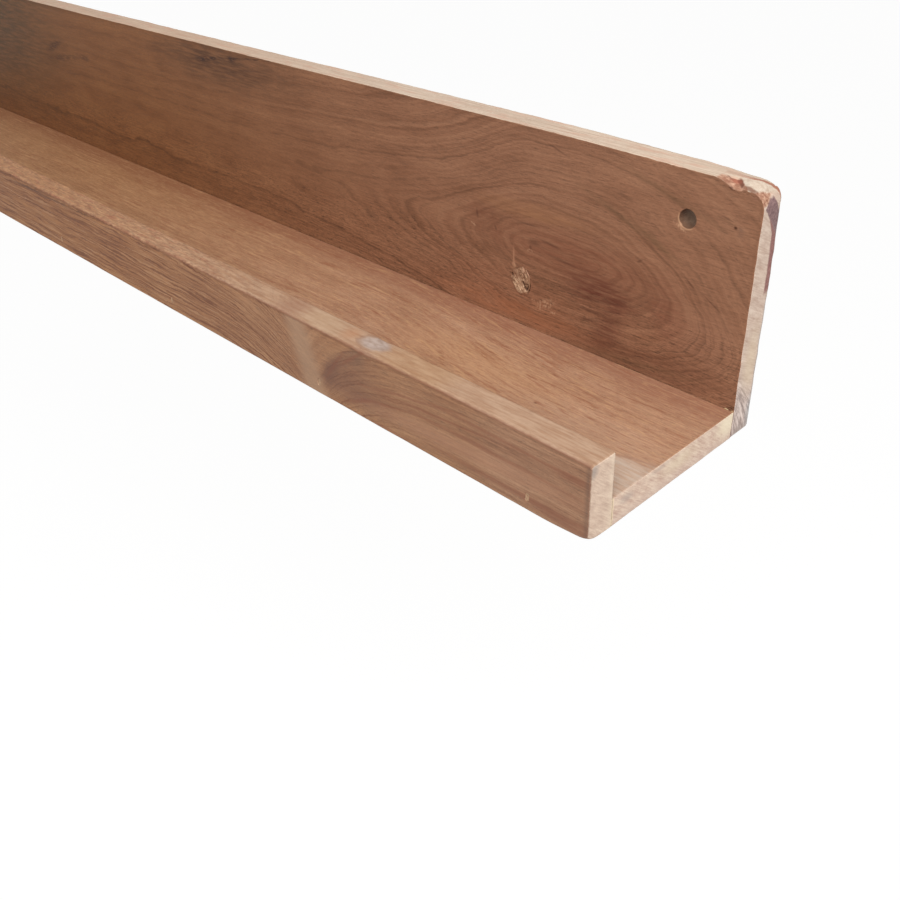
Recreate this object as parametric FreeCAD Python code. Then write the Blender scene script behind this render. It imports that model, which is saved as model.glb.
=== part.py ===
import FreeCAD, Part
import os

# Wall shelf of three solid boards: a tall back board that hangs on the wall, a bottom board
# and a low front lip. The boards are butt-jointed, flush underneath, and held by glue and
# finishing nails. Filler covers the lip's nails and a hole in the back board.
#
# Lengths are in millimetres. X runs along the shelf, Y points into the wall and Z is up, so
# the front of the shelf faces minus Y. The origin lies on the wall face of the back board,
# midway between the two hanging holes. The end with the worn corner is at plus X.

# Boards
shelf_length = 1000.0
back_height = 132.0
back_thickness = 16.0
bottom_width = 97.0
bottom_thickness = 16.0
lip_height = 42.0
lip_thickness = 17.0

# Rounded corners and softened edges
worn_corner_radius = 12.0
plain_corner_radius = 3.0
back_foot_radius = 4.0
lip_front_radius = 3.0
edge_radius = 1.0

# Glue between the boards
glue_thickness = 0.2

# Hanging holes through the back board, one near each end
hanging_hole_diameter = 9.5
hanging_hole_from_end = 38.5
hanging_hole_from_top = 25.0

# Finishing nails, driven through the lip and through the back board into the bottom board
nail_count = 7
nail_from_end = 36.0
nail_above_underside = 7.2
nail_length = 45.0
nail_width = 1.6
nail_shank_height = 1.4
nail_head_height = 3.0
nail_head_thickness = 1.2
nail_point_length = 3.0
nail_set_depth = 1.5

# Filler over each nail of the lip
nail_filler_width = 2.6
nail_filler_height = 5.0

# Filler in the hole of the back board, with a slit where it has shrunk
knot_from_end = 143.5
knot_above_underside = 43.6
knot_width = 14.5
knot_height = 16.5
knot_depth = 6.0
knot_slit_length = 5.2
knot_slit_width = 1.0
knot_slit_depth = 2.0
knot_slit_tilt_degrees = 32.0
knot_slit_right_share = 0.16
knot_slit_down_share = 0.22

# The outline of the hole, anticlockwise from its right side, as shares of width and height
knot_outline_shares = [
    (0.50, 0.02),
    (0.38, 0.33),
    (0.08, 0.50),
    (-0.24, 0.36),
    (-0.50, 0.12),
    (-0.42, -0.22),
    (-0.14, -0.47),
    (0.26, -0.50),
    (0.46, -0.26),
]

# How far a cutting shape runs past the face that it opens, and the least real edge length
cut_overrun = 1.0
least_edge = 0.001

# Places that follow from the sizes
near_x = shelf_length / 2
far_x = -near_x
top_z = hanging_hole_from_top
underside_z = top_z - back_height
shelf_z = underside_z + bottom_thickness
lip_top_z = underside_z + lip_height
nail_z = underside_z + nail_above_underside
back_front_y = -back_thickness
bottom_rear_y = back_front_y - glue_thickness
bottom_front_y = bottom_rear_y - bottom_width
lip_rear_y = bottom_front_y - glue_thickness
lip_front_y = lip_rear_y - lip_thickness


def rounded_prism(low, high, radii):
    """A box between two corners, with its four edges along Y rounded.

    The radii belong to the lower left, lower right, upper right and upper left edge, as seen
    from the front. A radius is limited to half of the shorter side.
    """
    corners = [
        FreeCAD.Vector(low.x, low.y, low.z),
        FreeCAD.Vector(high.x, low.y, low.z),
        FreeCAD.Vector(high.x, low.y, high.z),
        FreeCAD.Vector(low.x, low.y, high.z),
    ]
    widest = min(high.x - low.x, high.z - low.z) / 2
    starts = []
    ends = []
    edges = []
    for place, corner in enumerate(corners):
        radius = min(radii[place], widest)
        back_along = (corners[place - 1] - corner).normalize()
        on_along = (corners[(place + 1) % len(corners)] - corner).normalize()
        start = corner + back_along * radius
        end = corner + on_along * radius
        starts.append(start)
        ends.append(end)
        if radius > least_edge:
            centre = corner + (back_along + on_along) * radius
            middle = centre + (corner - centre).normalize() * radius
            edges.append(Part.Arc(start, middle, end).toShape())
    for place, end in enumerate(ends):
        start = starts[(place + 1) % len(starts)]
        if start.distanceToPoint(end) > least_edge:
            edges.append(Part.LineSegment(end, start).toShape())
    outline = Part.Wire(Part.__sortEdges__(edges))
    return Part.Face(outline).extrude(FreeCAD.Vector(0, high.y - low.y, 0))


def plain_box(low, high):
    """A box between two corners."""
    size = high - low
    return Part.makeBox(size.x, size.y, size.z, low)


def soften(solid, radius, wall, is_chosen):
    """Round the chosen edges. The radius is limited to less than half of the wall."""
    half_wall_share = 0.45
    chosen = [edge for edge in solid.Edges if is_chosen(edge.BoundBox)]
    return solid.makeFillet(min(radius, half_wall_share * wall), chosen)


def at_height(box, z):
    return abs(box.ZMin - z) < least_edge and abs(box.ZMax - z) < least_edge


def at_depth(box, y):
    return abs(box.YMin - y) < least_edge and abs(box.YMax - y) < least_edge


def on_an_end(box):
    near = abs(box.XMin - near_x) < least_edge
    far = abs(box.XMax - far_x) < least_edge
    return near or far


def back_blank():
    """The back board before its holes: a lower part beside the joint and an upper part."""
    foot = plain_box(
        FreeCAD.Vector(far_x, back_front_y, underside_z), FreeCAD.Vector(near_x, 0, shelf_z)
    )
    foot = soften(
        foot,
        back_foot_radius,
        min(back_thickness, bottom_thickness),
        lambda box: at_height(box, underside_z) and at_depth(box, 0),
    )
    foot = soften(
        foot,
        edge_radius,
        back_thickness,
        lambda box: on_an_end(box) and not at_depth(box, back_front_y) and not at_height(box, shelf_z),
    )
    panel = rounded_prism(
        FreeCAD.Vector(far_x, back_front_y, shelf_z),
        FreeCAD.Vector(near_x, 0, top_z),
        (0, 0, worn_corner_radius, plain_corner_radius),
    )
    panel = soften(
        panel,
        edge_radius,
        back_thickness,
        lambda box: box.YLength < least_edge and not at_height(box, shelf_z),
    )
    return foot.fuse(panel).removeSplitter()


def lip_blank():
    """The front lip before its holes: a lower part beside the joint and an upper part."""
    foot = plain_box(
        FreeCAD.Vector(far_x, lip_front_y, underside_z), FreeCAD.Vector(near_x, lip_rear_y, shelf_z)
    )
    foot = soften(
        foot,
        lip_front_radius,
        min(lip_thickness, bottom_thickness),
        lambda box: at_height(box, underside_z) and at_depth(box, lip_front_y),
    )
    foot = soften(
        foot,
        edge_radius,
        lip_thickness,
        lambda box: on_an_end(box) and not at_depth(box, lip_rear_y) and not at_height(box, shelf_z),
    )
    rim = plain_box(
        FreeCAD.Vector(far_x, lip_front_y, shelf_z), FreeCAD.Vector(near_x, lip_rear_y, lip_top_z)
    )
    rim = soften(
        rim,
        lip_front_radius,
        min(lip_thickness, lip_height - bottom_thickness),
        lambda box: at_height(box, lip_top_z) and at_depth(box, lip_front_y),
    )
    rim = soften(
        rim,
        edge_radius,
        lip_thickness,
        lambda box: (on_an_end(box) and not at_height(box, shelf_z))
        or (at_height(box, lip_top_z) and at_depth(box, lip_rear_y)),
    )
    return foot.fuse(rim).removeSplitter()


def level_strip(front_y, rear_y):
    """A strip of the shelf's full length, as thick as the bottom board, with softened ends."""
    strip = plain_box(
        FreeCAD.Vector(far_x, front_y, underside_z), FreeCAD.Vector(near_x, rear_y, shelf_z)
    )
    return soften(
        strip,
        edge_radius,
        bottom_thickness,
        lambda box: on_an_end(box) and (at_height(box, underside_z) or at_height(box, shelf_z)),
    )


def nail(x, head_y, direction):
    """A finishing nail. Its crown stands across the grain and its point is a chisel."""
    half_head = nail_head_height / 2
    half_shank = nail_shank_height / 2
    outline = [
        (0, half_head),
        (nail_head_thickness, half_head),
        (nail_head_thickness, half_shank),
        (nail_length - nail_point_length, half_shank),
        (nail_length, 0),
        (nail_length - nail_point_length, -half_shank),
        (nail_head_thickness, -half_shank),
        (nail_head_thickness, -half_head),
        (0, -half_head),
    ]
    side_x = x - nail_width / 2
    points = [
        FreeCAD.Vector(side_x, head_y + direction * along, nail_z + up) for along, up in outline
    ]
    face = Part.Face(Part.makePolygon(points + points[:1]))
    return face.extrude(FreeCAD.Vector(nail_width, 0, 0))


def nail_places():
    """The nails are spaced evenly, between one near each end."""
    first_x = far_x + nail_from_end
    last_x = near_x - nail_from_end
    spacing = (last_x - first_x) / max(nail_count - 1, 1)
    return [first_x + place * spacing for place in range(nail_count)]


def upright_slot(x, width, height, front_y, rear_y):
    """A slot with round ends, centred on a nail's height."""
    round_end = min(width, height) / 2
    return rounded_prism(
        FreeCAD.Vector(x - width / 2, front_y, nail_z - height / 2),
        FreeCAD.Vector(x + width / 2, rear_y, nail_z + height / 2),
        (round_end,) * 4,
    )


def lip_nail(x):
    return nail(x, lip_front_y + nail_set_depth, 1)


def back_nail(x):
    return nail(x, -nail_set_depth, -1)


def lip_nail_filler(x):
    """The filler that closes the hole over a nail of the lip."""
    return upright_slot(
        x, nail_filler_width, nail_filler_height, lip_front_y, lip_front_y + nail_set_depth
    )


def back_nail_pit(x):
    """The open pit over a nail of the back board, as wide as the nail's crown."""
    return plain_box(
        FreeCAD.Vector(x - nail_width / 2, -nail_set_depth, nail_z - nail_head_height / 2),
        FreeCAD.Vector(x + nail_width / 2, cut_overrun, nail_z + nail_head_height / 2),
    )


def hanging_hole(x):
    return Part.makeCylinder(
        hanging_hole_diameter / 2,
        back_thickness + cut_overrun + cut_overrun,
        FreeCAD.Vector(x, back_front_y - cut_overrun, 0),
        FreeCAD.Vector(0, 1, 0),
    )


def knot_plug():
    """The uneven hole in the front of the back board, as a solid."""
    x = near_x - knot_from_end
    z = underside_z + knot_above_underside
    points = [
        FreeCAD.Vector(x + across * knot_width, back_front_y, z + up * knot_height)
        for across, up in knot_outline_shares
    ]
    curve = Part.BSplineCurve()
    curve.interpolate(Points=points, PeriodicFlag=True)
    outline = Part.Wire(curve.toShape())
    return Part.Face(outline).extrude(FreeCAD.Vector(0, knot_depth, 0))


def knot_slit():
    """The slit in the filler of that hole, leaning over to the left."""
    slit = plain_box(
        FreeCAD.Vector(-knot_slit_width / 2, back_front_y - cut_overrun, -knot_slit_length / 2),
        FreeCAD.Vector(knot_slit_width / 2, back_front_y + knot_slit_depth, knot_slit_length / 2),
    )
    slit.rotate(FreeCAD.Vector(0, 0, 0), FreeCAD.Vector(0, 1, 0), -knot_slit_tilt_degrees)
    slit.translate(
        FreeCAD.Vector(
            near_x - knot_from_end + knot_slit_right_share * knot_width,
            0,
            underside_z + knot_above_underside - knot_slit_down_share * knot_height,
        )
    )
    return slit


lip_nails = [lip_nail(x) for x in nail_places()]
back_nails = [back_nail(x) for x in nail_places()]
lip_nail_fillers = [lip_nail_filler(x) for x in nail_places()]
back_nail_pits = [back_nail_pit(x) for x in nail_places()]
hanging_holes = [
    hanging_hole(x) for x in (far_x + hanging_hole_from_end, near_x - hanging_hole_from_end)
]

parts = {
    "back_board": back_blank().cut(hanging_holes + back_nails + back_nail_pits + [knot_plug()]),
    "bottom_board": level_strip(bottom_front_y, bottom_rear_y).cut(back_nails + lip_nails),
    "front_lip": lip_blank().cut(lip_nails + lip_nail_fillers),
    "back_glue_line": level_strip(bottom_rear_y, back_front_y).cut(back_nails),
    "lip_glue_line": level_strip(lip_rear_y, bottom_front_y).cut(lip_nails),
    "back_nails": Part.makeCompound(back_nails),
    "lip_nails": Part.makeCompound(lip_nails),
    "lip_nail_fillers": Part.makeCompound(lip_nail_fillers),
    "knot_filler": knot_plug().cut(knot_slit()),
}

os.makedirs("parts", exist_ok=True)
for name, shape in parts.items():
    shape.exportStep("parts/" + name + ".step")
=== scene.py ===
import math

import bmesh
import bpy
import numpy as np
from mathutils import Matrix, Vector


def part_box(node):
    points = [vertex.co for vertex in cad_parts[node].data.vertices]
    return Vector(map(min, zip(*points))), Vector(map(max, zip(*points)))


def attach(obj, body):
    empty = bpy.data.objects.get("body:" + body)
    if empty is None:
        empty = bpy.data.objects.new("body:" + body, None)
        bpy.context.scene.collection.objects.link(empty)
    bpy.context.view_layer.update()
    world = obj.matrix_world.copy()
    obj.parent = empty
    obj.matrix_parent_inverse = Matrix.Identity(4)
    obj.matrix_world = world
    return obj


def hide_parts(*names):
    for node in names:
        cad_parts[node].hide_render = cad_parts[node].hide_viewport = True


# A wall shelf of three reclaimed boards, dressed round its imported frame. Lengths are in
# millimetres, in the frame's axes: X along the shelf, Y into the wall, Z up. Points become
# metres only where a mesh, a lamp or the camera is made.

MM = 0.001

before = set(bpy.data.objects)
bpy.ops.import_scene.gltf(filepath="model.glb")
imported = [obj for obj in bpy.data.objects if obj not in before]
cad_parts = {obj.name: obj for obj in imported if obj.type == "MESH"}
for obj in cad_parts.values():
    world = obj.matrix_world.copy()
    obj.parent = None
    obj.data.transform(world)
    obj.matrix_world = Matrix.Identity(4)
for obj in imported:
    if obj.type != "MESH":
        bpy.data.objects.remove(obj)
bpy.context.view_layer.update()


def box(node):
    """The lowest and highest corner of a CAD node, in millimetres."""
    low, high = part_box(node)
    return np.array(low) / MM, np.array(high) / MM


back_low, back_high = box("back_board")
bottom_low, bottom_high = box("bottom_board")
lip_low, lip_high = box("front_lip")
filler_low, filler_high = box("lip_nail_fillers")
_, knot_high = box("knot_filler")

far_x, near_x = back_low[0], back_high[0]
top_z, underside_z = back_high[2], back_low[2]
shelf_z = bottom_high[2]
lip_top_z = lip_high[2]

nail_count = 7
nail_z = (filler_low[2] + filler_high[2]) / 2
nail_half_width = 1.3
nail_xs = np.linspace(filler_low[0] + nail_half_width, filler_high[0] - nail_half_width, nail_count)

hanging_hole_radius = 4.75
hanging_hole_from_end = 38.5
hanging_hole_z = 0.0
lip_dent_x = 349


# Smooth noise for the meshes


def noise(points, size, seed):
    """Smooth noise from 0 to 1. points has a row of coordinates for each value."""
    points = np.asarray(points, float).reshape(len(points), -1) / size
    cell = np.floor(points)
    share = points - cell
    share = share * share * (3 - 2 * share)
    strides = np.array([127.1, 311.7, 74.7])[: points.shape[1]]
    total = np.zeros(len(points))
    for corner in np.ndindex(*(2,) * points.shape[1]):
        offset = np.array(corner)
        weight = np.prod(np.where(offset == 1, share, 1 - share), axis=1)
        value = np.sin((cell + offset) @ strides + seed * 17.17) * 43758.5453
        total += weight * (value - np.floor(value))
    return total


def smooth(value, low, high):
    """0 below low, 1 above high and a smooth step between. low may be above high."""
    share = np.clip((value - low) / (high - low), 0, 1)
    return share * share * (3 - 2 * share)


# Board meshes: a grid on each wide face, a rim between them, and pockets let into the grids


def spaced(stops):
    """Grid lines through every stop. Each stop is a place and the step that follows it."""
    lines = [stops[0][0]]
    for (start, step), (end, _) in zip(stops, stops[1:]):
        count = max(1, round((end - start) / step))
        lines += list(np.linspace(start, end, count + 1)[1:])
    return np.array(lines)


def edge_stops(low, high, inner):
    """Stops that crowd towards both ends, round the stops given between them."""
    rim, shoulder = 1.2, 3.6
    start = [(low, 0.3), (low + rim, 0.6), (low + shoulder, 1.2)]
    end = [(high - shoulder, 0.6), (high - rim, 0.3), (high, 0.3)]
    middle = [stop for stop in inner if low + shoulder < stop[0] < high - shoulder]
    return start + middle + end


class Skin:
    """A closed mesh round a flat board. u runs along it, v across and w through it."""

    def __init__(self, us, vs, ws):
        self.us = us
        self.vs = vs
        self.points = []
        self.faces = []
        self.front = self.sheet(ws[0])
        self.rear = self.sheet(ws[-1])
        self.open = {"front": set(), "rear": set()}
        edge = self.loop(0, len(us) - 1, 0, len(vs) - 1)
        loops = [[self.front[i, j] for i, j in edge]]
        for w in ws[1:-1]:
            loops.append(self.ring([(us[i], vs[j], w) for i, j in edge]))
        loops.append([self.rear[i, j] for i, j in edge])
        for one, other in zip(loops, loops[1:]):
            self.join(one, other)

    def sheet(self, w):
        first = len(self.points)
        self.points += [(u, v, w) for u in self.us for v in self.vs]
        return first + np.arange(len(self.us) * len(self.vs)).reshape(len(self.us), len(self.vs))

    def loop(self, i0, i1, j0, j1):
        """The grid places round a block of cells, in order."""
        return (
            [(i, j0) for i in range(i0, i1)]
            + [(i1, j) for j in range(j0, j1)]
            + [(i, j1) for i in range(i1, i0, -1)]
            + [(i0, j) for j in range(j1, j0, -1)]
        )

    def ring(self, points):
        first = len(self.points)
        self.points += [tuple(point) for point in points]
        return list(range(first, first + len(points)))

    def at(self, loop):
        return np.array([self.points[index] for index in loop])

    def grow(self, loop, points):
        """Joins a loop to a new ring, and gives the ring."""
        ring = self.ring(points)
        self.join(loop, ring)
        return ring

    def join(self, one, other):
        for place in range(len(one)):
            after = (place + 1) % len(one)
            self.faces.append((one[place], one[after], other[after], other[place]))

    def block(self, side, u0, u1, v0, v1):
        """Opens the cells between these lines and gives the loop round them."""
        i0, i1 = np.abs(self.us - u0).argmin(), np.abs(self.us - u1).argmin()
        j0, j1 = np.abs(self.vs - v0).argmin(), np.abs(self.vs - v1).argmin()
        self.open[side] |= {(i, j) for i in range(i0, i1) for j in range(j0, j1)}
        grid = self.front if side == "front" else self.rear
        return [int(grid[i, j]) for i, j in self.loop(i0, i1, j0, j1)]

    def mouth(self, loop, centre, outline, rim, inward):
        """Rings from a block's loop to an outline, turning into the board. Gives the last ring.

        outline and rim are radii at an angle, and inward is the direction into the board.
        """
        start = self.at(loop)
        offset = start[:, :2] - centre
        angle = np.arctan2(offset[:, 1], offset[:, 0])
        far = np.hypot(offset[:, 0], offset[:, 1])
        around = np.stack([np.cos(angle), np.sin(angle)], 1)
        hole = outline(angle)
        edge = rim(angle)
        surface = start[0, 2]
        for share in (0.3, 0.55, 0.75, 0.9, 1):
            radius = far + (hole + edge - far) * share
            loop = self.grow(loop, np.column_stack([centre + around * radius[:, None], start[:, 2]]))
        for turn in np.radians((25, 50, 75, 90)):
            radius = hole + edge * (1 - np.sin(turn))
            depth = surface + inward * edge * (1 - np.cos(turn))
            loop = self.grow(loop, np.column_stack([centre + around * radius[:, None], depth]))
        return loop

    def floor(self, loop, centre, w):
        """A flat floor under a pocket's last ring."""
        start = self.at(loop)
        for share in (1, 0.6, 0.3):
            flat = centre + (start[:, :2] - centre) * share
            loop = self.grow(loop, np.column_stack([flat, np.full(len(flat), w)]))
        middle = self.ring([(centre[0], centre[1], w)])[0]
        for place in range(len(loop)):
            self.faces.append((loop[place], loop[(place + 1) % len(loop)], middle))

    def through(self, centre, half, outline, rim):
        """A hole through the board, with a turned rim at both ends."""
        span = (centre[0] - half, centre[0] + half, centre[1] - half, centre[1] + half)
        loop = self.mouth(self.block("front", *span), centre, outline, rim, 1)
        last = self.mouth(self.block("rear", *span), centre, outline, rim, -1)
        start, end = self.at(loop), self.at(last)
        for share in (0.25, 0.5, 0.75):
            loop = self.grow(loop, start + (end - start) * share)
        self.join(loop, last)

    def pocket(self, side, centre, half, outline, rim, w):
        """A blind pocket in one face, down to w."""
        span = (centre[0] - half[0], centre[0] + half[0], centre[1] - half[1], centre[1] + half[1])
        inward = 1 if side == "front" else -1
        loop = self.mouth(self.block(side, *span), np.array(centre), outline, rim, inward)
        self.floor(loop, np.array(centre), w)

    def mesh(self, name, shape, place):
        """Closes the grids, moves the points with shape, and gives the object."""
        for side, grid in (("front", self.front), ("rear", self.rear)):
            for i in range(len(self.us) - 1):
                for j in range(len(self.vs) - 1):
                    if (i, j) not in self.open[side]:
                        self.faces.append(
                            (grid[i, j], grid[i + 1, j], grid[i + 1, j + 1], grid[i, j + 1]))
        points = place(shape(np.array(self.points, float)))
        return solid(name, points, self.faces)


def new_object(name, data):
    made = bpy.data.objects.new(name, data)
    bpy.context.scene.collection.objects.link(made)
    return made


def solid(name, points, faces):
    """A smooth-shaded object from points in millimetres, with loose points left out."""
    data = bpy.data.meshes.new(name)
    data.from_pydata(
        (np.asarray(points) * MM).tolist(), [], [tuple(map(int, face)) for face in faces])
    work = bmesh.new()
    work.from_mesh(data)
    loose = [point for point in work.verts if not point.link_faces]
    bmesh.ops.delete(work, geom=loose, context="VERTS")
    bmesh.ops.recalc_face_normals(work, faces=work.faces)
    work.to_mesh(data)
    work.free()
    data.shade_smooth()
    return new_object(name, data)


def coat(piece, material):
    """Gives a piece one material in place of what it has."""
    piece.data.materials.clear()
    piece.data.materials.append(material)


def dress(piece, material, slot, *nodes):
    """Gives a piece its material and its body, and hides the CAD nodes that it stands for. slot is not used.
    """
    coat(piece, material)
    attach(piece, "root")
    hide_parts(*nodes)


def round_outline(points, low, high, radii):
    """Squeezes a rectangle's corners onto arcs. Gives each point's distance from the rim and
    the direction inwards. radii are for the low-low, high-low, high-high, low-high corners."""
    flat = points[:, :2]
    side = np.stack([flat[:, 0] - low[0], high[0] - flat[:, 0],
                     flat[:, 1] - low[1], high[1] - flat[:, 1]], 1)
    nearest = side.argmin(1)
    distance = side.min(1)
    ways = np.array([(1, 0), (-1, 0), (0, 1), (0, -1)], float)
    inwards = ways[nearest]
    signs = [(-1, -1), (1, -1), (1, 1), (-1, 1)]
    for (sign_u, sign_v), radius in zip(signs, radii):
        corner = np.array([high[0] if sign_u > 0 else low[0], high[1] if sign_v > 0 else low[1]])
        radius = np.broadcast_to(radius, len(points))
        centre = corner - np.outer(radius, (sign_u, sign_v))
        offset = (flat - centre) * (sign_u, sign_v)
        inside = (offset[:, 0] > 0) & (offset[:, 1] > 0)
        reach = offset.max(1)
        length = np.maximum(np.hypot(offset[:, 0], offset[:, 1]), 1e-9)
        squeezed = centre + offset * (reach / length)[:, None] * (sign_u, sign_v)
        flat = np.where(inside[:, None], squeezed, flat)
        distance = np.where(inside, radius - reach, distance)
        way = -offset / length[:, None] * (sign_u, sign_v)
        inwards = np.where(inside[:, None], way, inwards)
    return flat, distance, inwards, side


def turn_arris(flat, w, thickness, distance, inwards, radius):
    """Rounds the arris between the wide faces and the rim."""
    to_face = np.minimum(w, thickness - w)
    near = (distance < radius) & (to_face < radius)
    across = distance - radius
    through = to_face - radius
    length = np.maximum(np.hypot(across, through), 1e-9)
    new_distance = np.where(near, radius + across * radius / length, distance)
    new_through = np.where(near, radius + through * radius / length, to_face)
    flat = flat + inwards * (new_distance - distance)[:, None]
    w = np.where(w < thickness / 2, new_through, thickness - new_through)
    return flat, w


def rounded_edge(up, depth, radius):
    """Squeezes a lower arris onto an arc. up and depth are distances from its two faces."""
    across, through = radius - up, radius - depth
    scale = np.maximum(across, through) / np.maximum(np.hypot(across, through), 1e-9)
    scale = np.where((across > 0) & (through > 0), scale, 1)
    return radius - across * scale, radius - through * scale


def edge_mix(side, radii):
    """One radius for each point, from the radii of the four sides, weighted by nearness."""
    weight = 1 / (side ** 2 + 0.04)
    return (weight * radii).sum(1) / weight.sum(1)


def worn(points, low, high, corners, thickness, arris, faces, loss=None):
    """Rounds and wears a board's points. arris gives each side's radii, faces the dents in the
    wide faces, and loss how far the rim has worn inwards."""
    flat, distance, inwards, side = round_outline(points, low, high, corners)
    w = points[:, 2]
    radius = edge_mix(np.abs(side), arris(points))
    flat, w = turn_arris(flat, w, thickness, distance, inwards, radius)
    if loss is not None:
        flat = flat + inwards * (loss(points) * smooth(distance, 7, 0))[:, None]
    dent = faces(points)
    is_front = points[:, 2] < thickness / 2
    inner = smooth(distance, 0, 2.5)
    w = w + np.where(is_front, dent, -dent) * inner * (np.abs(w - thickness / 2) > thickness / 2 - 4)
    return flat, w


def upright(front):
    """Places the points of a board that stands up, with its front face at this Y."""
    return lambda points: np.column_stack([points[:, 0], front + points[:, 2], points[:, 1]])


def wavy(points, size, depth, seed):
    """A shallow unevenness, from nothing to depth."""
    return depth * noise(points[:, :2] / (4, 1), size, seed)


# Node graphs, written as sums of fields


def srgb(red, green, blue):
    """A colour from its 0 to 255 display values."""
    def linear(value):
        share = value / 255
        return share / 12.92 if share <= 0.04045 else ((share + 0.055) / 1.055) ** 2.4
    return (linear(red), linear(green), linear(blue), 1)


class Field:
    """A number that a node graph works out at each point."""

    def __init__(self, graph, socket):
        self.graph = graph
        self.socket = socket

    def __abs__(self):
        return self.graph.math("ABSOLUTE", self)


def operator(operation, field_first):
    """The method behind one of the signs + - * and / on a field."""
    def join(field, other):
        values = (field, other) if field_first else (other, field)
        return field.graph.math(operation, *values)
    return join


for sign, operation in (("add", "ADD"), ("sub", "SUBTRACT"), ("mul", "MULTIPLY"), ("truediv", "DIVIDE")):
    setattr(Field, f"__{sign}__", operator(operation, True))
    setattr(Field, f"__r{sign}__", operator(operation, False))


class Graph:
    """The node tree of a material or a world. Places and sizes in it are in millimetres."""

    def __init__(self, owner):
        owner.use_nodes = True
        self.owner = owner
        self.tree = owner.node_tree
        self.tree.nodes.clear()

    def node(self, kind, inputs=(), **settings):
        """A new node with its settings, and values for its inputs by name or place."""
        made = self.tree.nodes.new(kind)
        for name, value in settings.items():
            setattr(made, name, value)
        for name, value in dict(inputs).items():
            self.feed(made.inputs[name], value)
        return made

    def feed(self, socket, value):
        """Joins a field or an output to an input, or sets a number or a display colour on it."""
        if isinstance(value, Field):
            value = value.socket
        if isinstance(value, bpy.types.NodeSocket):
            self.tree.links.new(value, socket)
        elif isinstance(value, tuple):
            socket.default_value = srgb(*value)
        else:
            socket.default_value = value

    def parts(self, vector):
        """A vector's three parts."""
        outputs = self.node("ShaderNodeSeparateXYZ", {0: vector}).outputs
        return [Field(self, outputs[axis]) for axis in range(3)]

    def math(self, operation, *values):
        return Field(self, self.node("ShaderNodeMath", enumerate(values), operation=operation).outputs[0])

    def smooth(self, value, low, high, start=0.0, end=1.0):
        """A smooth step from start at low to end at high."""
        inputs = enumerate((value, low, high, start, end))
        made = self.node("ShaderNodeMapRange", inputs, interpolation_type="SMOOTHSTEP")
        return Field(self, made.outputs[0])

    def noise(self, x, y, z, detail=2.0, rough=0.5):
        """Noise round 0.5, with features about one unit long."""
        place = self.node("ShaderNodeCombineXYZ", enumerate((x, y, z))).outputs[0]
        inputs = {"Vector": place, "Scale": 1, "Detail": detail, "Roughness": rough}
        return Field(self, self.node("ShaderNodeTexNoise", inputs, noise_dimensions="3D").outputs[0])

    def mottle(self, along, deep, high, detail=2.0, rough=0.5):
        """Noise over the board. The first three numbers are the size of its features."""
        return self.noise(self.x / along, self.y / deep, self.z / high, detail, rough)

    def line_noise(self, value):
        """Noise along one line."""
        inputs = {"W": value, "Scale": 1, "Detail": 1}
        return Field(self, self.node("ShaderNodeTexNoise", inputs, noise_dimensions="1D").outputs[0])

    def power(self, value, exponent):
        return self.math("POWER", value, exponent)

    def length(self, across, up):
        return self.math("SQRT", across * across + up * up)

    def spot(self, across, up, centre, reach, lean, soft):
        """1 inside an oval and 0 outside it. lean turns it anticlockwise, in degrees."""
        turn = math.radians(lean)
        side = across - centre[0]
        rise = up - centre[1]
        along = (side * math.cos(turn) + rise * math.sin(turn)) / reach[0]
        over = (rise * math.cos(turn) - side * math.sin(turn)) / reach[1]
        return self.smooth(self.length(along, over), 1 + soft, 1 - soft)

    def paint(self, under, over, amount):
        """One colour laid over another."""
        return self.node("ShaderNodeMix", {0: amount, 6: under, 7: over}, data_type="RGBA").outputs[2]

    def dabs(self, under, across, up, rows, mask=None, soft=0.8):
        """Ovals painted in turn. Each row is a centre, a reach, a lean, a colour and an amount."""
        for side, rise, wide, high, lean, colour, amount in rows:
            oval = self.spot(across, up, (side, rise), (wide, high), lean, soft)
            oval = oval if mask is None else oval * mask
            under = self.paint(under, colour, oval * amount)
        return under

    def marks(self, under, across, up, colour, amount, rows, mask=None):
        """Ovals of one colour. Each row is a centre, a reach and a lean."""
        return self.dabs(under, across, up, [(*row, colour, amount) for row in rows], mask)

    def shade(self, colour, factor):
        """A colour made darker or lighter."""
        inputs = {0: colour, "Scale": factor}
        return self.node("ShaderNodeVectorMath", inputs, operation="SCALE").outputs[0]

    def tint(self, colour, factors, amount):
        """A colour multiplied, channel by channel, by the given factors."""
        inputs = {0: amount, 6: colour}
        made = self.node("ShaderNodeMix", inputs, data_type="RGBA", blend_type="MULTIPLY")
        made.inputs[7].default_value = (*factors, 1)
        return made.outputs[2]

    def ramp(self, value, *stops):
        """Colours along a value. Each stop is a place and a display colour."""
        made = self.node("ShaderNodeValToRGB", {0: value})
        elements = made.color_ramp.elements
        while len(elements) < len(stops):
            elements.new(0.5)
        for element, (place, colour) in zip(elements, stops):
            element.position = place
            element.color = srgb(*colour)
        return made.outputs[0]

    def finish(self, colour, roughness, relief, relief_depth, specular=0.3, metal=0.0):
        """The surface shader. relief is a height from 0 to 1."""
        bump = self.node("ShaderNodeBump", {"Distance": relief_depth * MM, "Strength": 1, "Height": relief})
        inputs = {"Base Color": colour, "Roughness": roughness, "Specular IOR Level": specular,
                  "Metallic": metal, "Normal": bump.outputs[0]}
        shader = self.node("ShaderNodeBsdfPrincipled", inputs)
        self.node("ShaderNodeOutputMaterial", {0: shader.outputs[0]})
        return self.owner


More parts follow.
